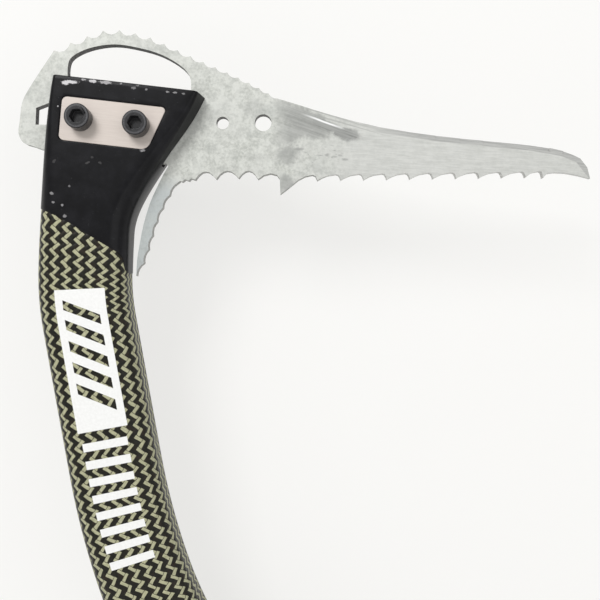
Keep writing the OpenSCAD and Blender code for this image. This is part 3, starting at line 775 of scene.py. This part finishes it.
def head_shell():
    count = len(head_section(0, 0))
    lengths = [lap_length(k) for k in range(count)]
    rows = []
    # the top's rounded edge, then the skin down to the slanted joint
    for k in range(4):
        a = math.radians(90 * k / 4)
        rows.append((0.0, RIM_ROUND * (1 - math.cos(a)), RIM_ROUND * (1 - math.sin(a))))
    steps = 44
    for k in range(steps + 1):
        rows.append((k / steps, RIM_ROUND, 0.0))
    verts = []
    for share, start, inset in rows:
        for column in range(count):
            s = start + share * (lengths[column] - start)
            verts.append(head_point(s, column, inset - proud_by(s)))
    total = len(rows)
    # a thin rounded lip over the tube, then the inside
    for inset, past in ((0.06, 0.12), (SHELL_WALL, 0.12)):
        for column in range(count):
            s = lengths[column] + past
            verts.append(head_point(s, column, inset - PROUD))
        total += 1
    inner = 20
    for k in range(inner, -1, -1):
        for column in range(count):
            s = SHELL_WALL + (lengths[column] - SHELL_WALL) * k / inner
            verts.append(head_point(s, column, SHELL_WALL))
        total += 1
    obj = make_piece("head_shell_skin", verts, skin_faces(total, count), "tool",
                     ["head_shell"])
    bm = bmesh.new()
    bm.from_mesh(obj.data)
    bmesh.ops.remove_doubles(bm, verts=bm.verts, dist=1e-6)
    bmesh.ops.recalc_face_normals(bm, faces=bm.faces)
    bm.to_mesh(obj.data)
    bm.free()
    face = SHAFT_THICK / 2
    window = rounded_outline(WINDOW, 8)
    turns = [math.radians(90 * k / 4) for k in range(5)]
    flare = [(face - WINDOW_ROUND * (1 - math.sin(a)), WINDOW_ROUND * (1 - math.cos(a))) for a in turns]
    stations = [(8.0, 0.0)] + flare + [(face + 2, WINDOW_ROUND)]
    near = prism(window, [(-y, g) for y, g in stations])
    opposite = prism(window, stations)
    slot = [(-60, 60), (80, 60), (80, -25), (22, -16.3), (-60, -6.9)]
    cut(obj, [near, opposite, prism(slot, [(-SLOT, 0), (SLOT, 0)])])
    return dress(obj, "black_shell")


# ---- the woven shaft tube ----
REBATE = 1.2
LAP_END = 100.0
# x, z and diameter in the grip's frame: two for the spike's pins, one for the grip rest's screws
FOOT_BORES = ((-7.6, -GRIP_LEN + 12, 4.04), (7.6, -GRIP_LEN + 12, 4.04), (0, -GRIP_LEN + 24, 5.1))


def tube_section(grow, arc=8, sides=10, flats=6):
    points, girth = rounded_section(SHAFT_DEPTH + 2 * grow, SHAFT_THICK + 2 * grow, SHAFT_ROUND + grow,
                                    arc, sides, flats)
    return [(u - grow, y, run) for u, y, run in points], girth


def shaft_tube():
    outer, girth = tube_section(0)
    inner, _ = tube_section(-TUBE_WALL)
    count = len(outer)
    bend = STRAIGHT_S - TOP_S
    stations = [TOP_S + k * bend / 150 for k in range(151)]
    stations += [STRAIGHT_S + k * GRIP_LEN / 24 for k in range(1, 25)]
    verts, uvs = [], []
    for s in stations:
        for u, y, run in outer:
            x, z = shaft_at(s, u)
            under = REBATE * smoothstep(-below_lap(x, z), 0.6, 2.6) if s < LAP_END else 0.0
            middle = SHAFT_DEPTH / 2
            x, z = shaft_at(s, middle + (u - middle) * (1 - under / middle))
            verts.append((x, y * (1 - 2 * under / SHAFT_THICK), z))
            uvs.append((run, s))
    inner_stations = [TUBE_END] + [STRAIGHT_S - k * bend / 40 for k in range(41)]
    for s in inner_stations:
        for u, y, run in inner:
            x, z = shaft_at(s, u)
            verts.append((x, y, z))
            uvs.append((run, s))
    total = len(stations) + len(inner_stations)
    faces = skin_faces(total, count, closed_ends=False)
    for k in range(count):
        a = (total - 1) * count + k
        b = (total - 1) * count + (k + 1) % count
        faces.append((a, b, (k + 1) % count, k))
    obj = make_piece("shaft_tube_weave", verts, faces, "tool", ["shaft_tube"], uvs, 40)
    mend_seam(obj.data, girth)
    cut(obj, [cross_bore(*bore) for bore in FOOT_BORES])
    return dress(obj, "woven_composite")


def mend_seam(mesh, girth):
    """Where the section closes on itself, the distance round goes on to the full girth."""
    layer = mesh.uv_layers["weave"].data
    for poly in mesh.polygons:
        values = [layer[k].uv[0] for k in poly.loop_indices]
        if max(values) - min(values) > girth / 2:
            for k in poly.loop_indices:
                if layer[k].uv[0] < girth / 2:
                    layer[k].uv[0] += girth


def cross_bore(x, z, diameter):
    centre = grip_point(x, 0, z)
    return prism(disc((centre[0], centre[2]), diameter / 2, 32), [(-20, 0), (20, 0)])


# ---- the ribbed grip ----
SLEEVE_Z = (-154.0, -51.0)
SLEEVE_WALL = 2.4
RIB_PITCH = 6.4
RIB_LEN = 4.6
RIB_RISE = 0.8
RIBS = 16
GLUE = 0.02


def grip_skin(stations, arc=8, sides=8, flats=5):
    """Rings across the grip at (z, growth)."""
    verts = []
    for z, grow in stations:
        points, _ = rounded_section(SHAFT_DEPTH + 2 * grow, SHAFT_THICK + 2 * grow,
                                    max(0.5, SHAFT_ROUND + grow), arc, sides, flats)
        for u, y, _ in points:
            verts.append(grip_point(u - grow - SHAFT_DEPTH / 2, y, z))
    return verts, len(points)


def closed_band(name, stations, body, replaced, sharp=32):
    """A band round the grip whose section (z, growth) runs once round."""
    verts, count = grip_skin(stations)
    faces = skin_faces(len(stations), count, closed_ends=False)
    last = (len(stations) - 1) * count
    for k in range(count):
        faces.append((last + k, last + (k + 1) % count, (k + 1) % count, k))
    return make_piece(name, verts, faces, body, replaced, smooth_deg=sharp)


def grip_sleeve():
    base = SLEEVE_WALL - RIB_RISE
    stations = [(SLEEVE_Z[0], GLUE), (SLEEVE_Z[0], base)]
    for k in range(RIBS):
        start = SLEEVE_Z[0] + 0.6 + RIB_PITCH * k
        for step in range(9):
            t = step / 8
            bulge = 1 - abs(2 * t - 1) ** 3.2
            stations.append((start + RIB_LEN * t, base + RIB_RISE * bulge))
    stations += [(SLEEVE_Z[1], base), (SLEEVE_Z[1], GLUE)]
    obj = closed_band("grip_sleeve_ribbed", stations, "tool", ["grip_sleeve"], 60)
    return dress(obj, "grip_rubber")


# ---- the finger rest and the grip rest, in the grip's frame ----
REST_Z = -26.0
REST_HALF = 7.0
LINER = 1.0
BAND = 3.4
SLIP = 0.08
EAR_X = -SHAFT_DEPTH / 2 - LINER - BAND - 4.5
EAR_HALF = 7.5
EAR_ROUND = 6.5


def band_stations(z1, z2, inner, outer, round_by):
    """A band's section, with rounded outer edges."""
    stations = [(z1, inner)]
    for k in range(5):
        a = math.radians(90 * k / 4)
        stations.append((z1 + round_by * (1 - math.cos(a)), outer - round_by * (1 - math.sin(a))))
    for k in range(4, -1, -1):
        a = math.radians(90 * k / 4)
        stations.append((z2 - round_by * (1 - math.cos(a)), outer - round_by * (1 - math.sin(a))))
    return stations + [(z2, inner)]


def loft_between(lower, upper, half, radius, arc=5):
    """A closed arm with rounded edges between two curves of (x, z), rounded off at its far end."""
    verts = []

    def ring(low_point, high_point, half_here):
        height = math.dist(low_point, high_point)
        points, _ = rounded_section(height, 2 * half_here, min(radius, 0.48 * height), arc, 3, 6)
        for u, y, _ in points:
            t = u / height
            verts.append(grip_point(low_point[0] + (high_point[0] - low_point[0]) * t, y,
                                    low_point[1] + (high_point[1] - low_point[1]) * t))
        return len(points)

    for low_point, high_point in zip(lower, upper):
        count = ring(low_point, high_point, half)
    end = Vector(((lower[-1][0] + upper[-1][0]) / 2, (lower[-1][1] + upper[-1][1]) / 2))
    before = Vector(((lower[-2][0] + upper[-2][0]) / 2, (lower[-2][1] + upper[-2][1]) / 2))
    ahead = (end - before).normalized()
    across = Vector(upper[-1]) - Vector(lower[-1])
    reach = across.length / 2
    turns = (20, 40, 60, 78, 87)
    for degrees in turns:
        a = math.radians(degrees)
        centre = end + ahead * reach * math.sin(a)
        arm = across / 2 * math.cos(a)
        ring(tuple(centre - arm), tuple(centre + arm), half - reach * (1 - math.cos(a)))
    return verts, skin_faces(len(lower) + len(turns), count)


def pick_along(points, count, end=1.0):
    """count + 1 points at equal shares of a curve's length, up to end of it."""
    runs = [0.0]
    for a, b in zip(points, points[1:]):
        runs.append(runs[-1] + math.dist(a, b))
    chosen = []
    for k in range(count + 1):
        want = runs[-1] * end * k / count
        i = max(n for n in range(len(runs) - 1) if runs[n] <= want + 1e-9)
        t = (want - runs[i]) / (runs[i + 1] - runs[i])
        chosen.append(tuple(p + (q - p) * t for p, q in zip(points[i], points[i + 1])))
    return chosen


def grip_prism(outline, stations):
    """A closed solid over an outline in the grip frame's x-z plane, by (y, growth) stations."""
    flat = [grip_point(x, 0, z) for x, z in outline]
    return prism([(p[0], p[2]) for p in flat], stations)


def grip_core(z1, z2, grow):
    verts, count = grip_skin([(z1, grow), (z2, grow)])
    return verts, skin_faces(2, count)


def rounded_sides(half, round_by):
    """(y, growth) stations of a solid with rounded edges at y = -half and half."""
    turns = [math.radians(90 * k / 4) for k in range(5)]
    left = [(-half + round_by * (1 - math.cos(a)), -round_by * (1 - math.sin(a))) for a in turns]
    return left + [(-y, g) for y, g in reversed(left)]


def finger_rest():
    stations = band_stations(REST_Z - REST_HALF, REST_Z + REST_HALF, LINER + SLIP, LINER + BAND, 1.1)
    obj = closed_band("finger_rest_band", stations, "finger_rest", ["rest_band"], 40)
    lower = through([(15, -6.9), (26, -7.4), (35, -5), (42, 1.4), (45.4, 9), (44.6, 12)], 8)
    upper = through([(15, 6.9), (24, 5), (30, 3.4), (37, 5.6), (41, 10), (42.2, 12)], 8)
    lower = [(x, z + REST_Z) for x, z in pick_along(lower, 26, 0.97)]
    upper = [(x, z + REST_Z) for x, z in pick_along(upper, 26, 0.97)]
    arm = loft_between(lower, upper, 8.5, 3.2)
    ear = [(EAR_X + EAR_ROUND * math.cos(math.radians(a)), REST_Z + EAR_ROUND * math.sin(math.radians(a)))
           for a in range(90, 271, 9)]
    ear += [(EAR_X + 9, REST_Z - EAR_ROUND), (EAR_X + 9, REST_Z + EAR_ROUND)]
    cut(obj, [arm, grip_prism(ear, rounded_sides(EAR_HALF, 1.0))], "UNION")
    split = [(-SHAFT_DEPTH / 2 - 20, REST_Z - 9), (-SHAFT_DEPTH / 2 + 4, REST_Z - 9),
             (-SHAFT_DEPTH / 2 + 4, REST_Z + 9), (-SHAFT_DEPTH / 2 - 20, REST_Z + 9)]
    bore = disc((EAR_X, REST_Z), 2.65, 32)
    pocket = disc((EAR_X, REST_Z), 4.1 / math.cos(math.radians(30)), 6)
    cut(obj, [grip_core(REST_Z - 12, REST_Z + 12, LINER + SLIP), grip_prism(split, [(-1, 0), (1, 0)]),
              grip_prism(bore, [(-20, 0), (20, 0)]),
              grip_prism(pocket, [(EAR_HALF - 2.4, 0), (EAR_HALF + 2, 0)])])
    return dress(obj, "black_nylon")


POMMEL_WALL = 3.4
FOOT_Z = -GRIP_LEN
STUD_Z = FOOT_Z + 24
POMMEL_TRAVEL = 14.0
PAD_THICK = 2.0
HOOK_TOP = ((21, 30), (27, 27.5), (35, 27), (43, 30.6), (50, 38), (55, 47.4), (57.4, 55))
HOOK_UNDER = ((61.6, 53.6), (60.6, 44), (56, 33), (48, 22.4), (38, 14), (28, 8.6), (17, 4.6))


def beside(points, gap):
    """The curve moved sideways by gap."""
    moved = []
    for k, p in enumerate(points):
        along = Vector(points[min(k + 1, len(points) - 1)]) - Vector(points[max(k - 1, 0)])
        along.normalize()
        moved.append((p[0] - along.y * gap, p[1] + along.x * gap))
    return moved


def at_foot(points):
    return [(x, z + FOOT_Z) for x, z in points]


def grip_rest():
    stations = band_stations(FOOT_Z + 4, FOOT_Z + 30, SLIP, POMMEL_WALL, 1.4)
    obj = closed_band("grip_rest_collar", stations, "grip_rest", ["pommel"], 40)
    top = at_foot(beside(through(((15, 30),) + HOOK_TOP, 8), -PAD_THICK))
    under = at_foot(through(tuple(reversed(HOOK_UNDER)), 8))
    arm = loft_between(pick_along(under, 34, 0.985), pick_along(top, 34, 0.985), 12.0, 3.6)
    cut(obj, [arm], "UNION")
    slot = [(2.7 * math.cos(math.radians(a)), STUD_Z + 2.7 * math.sin(math.radians(a)))
            for a in range(0, 181, 15)]
    slot += [(2.7 * math.cos(math.radians(a)), STUD_Z - POMMEL_TRAVEL + 2.7 * math.sin(math.radians(a)))
             for a in range(180, 361, 15)]
    face = SHAFT_THICK / 2 + POMMEL_WALL
    flare = [(-face - 2, 0.6), (-face, 0.6), (-face + 0.25, 0.2), (-face + 0.6, 0), (face - 0.6, 0),
             (face - 0.25, 0.2), (face, 0.6), (face + 2, 0.6)]
    cut(obj, [grip_core(FOOT_Z - 10, FOOT_Z + 44, SLIP), grip_prism(slot, flare)])
    return dress(obj, "black_nylon")


def grip_rest_pad():
    """Rubber strip on the hook, with low ribs across it."""
    curve = at_foot(through(HOOK_TOP, 8))
    steps = 96
    top = pick_along(curve, steps)
    base = beside(top, -PAD_THICK + 0.02)
    rib = [0.45 * max(0.0, math.sin(2 * math.pi * 9 * k / steps)) ** 0.6 * smoothstep(k, 4, 12)
           * (1 - smoothstep(k, steps - 12, steps - 4)) for k in range(steps + 1)]
    top = [beside(top, r - 0.25)[k] for k, r in enumerate(rib)]
    verts, faces = loft_between(base, top, 12.4, 0.7)
    obj = make_piece("grip_rest_pad", verts, faces, "grip_rest", ["pommel_pad"], None, 50)
    cut(obj, [grip_core(FOOT_Z - 10, FOOT_Z + 44, POMMEL_WALL + 0.02)])
    return dress(obj, "grip_rubber")


finger_rest()
grip_rest()
grip_rest_pad()
head_shell()
shaft_tube()
grip_sleeve()

KEPT = {"pick": 0.22, "head_insert": 0.2, "side_plate_near": 0.12, "side_plate_far": 0.12, "pick_bolts": 0.8,
        "nut_washers": 0.25, "pick_nuts": 0.35, "grip_collar": 0.5, "rest_liner": 0.0, "rest_screw": 0.35,
        "rest_nut": 0.25, "pommel_screws": 0.35,
        "handle_insert": 0.4, "spike": 0.25, "spike_pins": 0.2, "shaft_mark": 0.0}
SLOTS = {entry["node"]: entry["material_slot"] for entry in frame["record"]["subparts"]}
for node, width in KEPT.items():
    piece = frame["nodes"][node]
    dress(piece, SLOTS[node])
    if width > 0:
        soften(piece, width)


# ---- floor, backdrop, lights and camera ----
def plain_sheet(name, corners, color, one_sided, own_light=0.0):
    mesh = bpy.data.meshes.new(name)
    mesh.from_pydata(corners, [], [(0, 1, 2, 3)])
    obj = bpy.data.objects.new(name, mesh)
    bpy.context.scene.collection.objects.link(obj)
    p = Paint(name)
    grain = p.noise(0.02, 3)
    base = p.mix(grain, tuple(c * 0.97 for c in color), color)
    mat = p.finish(base, 0.9, 0.0, None, 0.0, 0.1)
    p.shader.inputs["Emission Color"].default_value = (*color, 1)
    p.shader.inputs["Emission Strength"].default_value = own_light
    if one_sided:
        clear = p.node("BsdfTransparent").outputs[0]
        behind = p.node("NewGeometry").outputs["Backfacing"]
        mixer = p.node("MixShader", {0: behind, 1: p.shader.outputs[0], 2: clear})
        p.tree.links.new(mixer.outputs[0], p.out.inputs[0])
    obj.data.materials.append(mat)
    return obj


low, high = CAD_BOX
FLOOR_Z = low.z - 0.0005
WALL_Y = 0.05
FLOOR = [(-4, -4, FLOOR_Z), (4, -4, FLOOR_Z), (4, 4, FLOOR_Z), (-4, 4, FLOOR_Z)]
plain_sheet("floor", FLOOR, (0.5, 0.5, 0.495), False, 0.8)
WALL = [(-1, WALL_Y, FLOOR_Z), (1, WALL_Y, FLOOR_Z), (1, WALL_Y, 1), (-1, WALL_Y, 1)]
backdrop = plain_sheet("backdrop", WALL, (0.30, 0.2985, 0.293), True, 2.13)
backdrop.visible_shadow = False
backdrop.visible_diffuse = False


def soft_light(name, place, aim, size, power, color=(1, 1, 1)):
    data = bpy.data.lights.new(name, "AREA")
    data.shape = "RECTANGLE"
    data.size, data.size_y = size
    data.energy = power
    data.color = color
    obj = bpy.data.objects.new(name, data)
    bpy.context.scene.collection.objects.link(obj)
    obj.location = place
    obj.rotation_euler = (Vector(aim) - Vector(place)).to_track_quat("-Z", "Y").to_euler()
    return obj


head_centre = placed((20, 0, -30))
soft_light("key", head_centre + Vector((-0.5, -1.1, 0.8)), head_centre, (0.6, 0.6), 11)
soft_light("fill", head_centre + Vector((0.9, -1.1, 0.1)), head_centre, (1.2, 1.2), 4)
soft_light("rear", head_centre + Vector((0.3, 1.3, 0.9)), head_centre, (1.2, 1.2), 5)

WORLD_LIGHT = 0.5
WORLD_SEEN = 0.9
world = bpy.data.worlds.new("studio")
bpy.context.scene.world = world
world.use_nodes = True
background = world.node_tree.nodes["Background"]
background.inputs[0].default_value = (1, 1, 1, 1)
seen = world.node_tree.nodes.new("ShaderNodeLightPath").outputs["Is Camera Ray"]
strength = world.node_tree.nodes.new("ShaderNodeMix")
strength.inputs[2].default_value = WORLD_LIGHT
strength.inputs[3].default_value = WORLD_SEEN
world.node_tree.links.new(seen, strength.inputs[0])
world.node_tree.links.new(strength.outputs[0], background.inputs[1])

camera_data = bpy.data.cameras.new("camera")
camera_data.lens = 45.0
camera_data.sensor_width = 36.0
camera_data.clip_start = 0.01
camera = bpy.data.objects.new("camera", camera_data)
bpy.context.scene.collection.objects.link(camera)
camera.location = placed((77.3, -315, -71.9))
camera.rotation_euler = (math.radians(90), 0, 0)
bpy.context.scene.camera = camera
bpy.context.scene.view_settings.view_transform = "Standard"
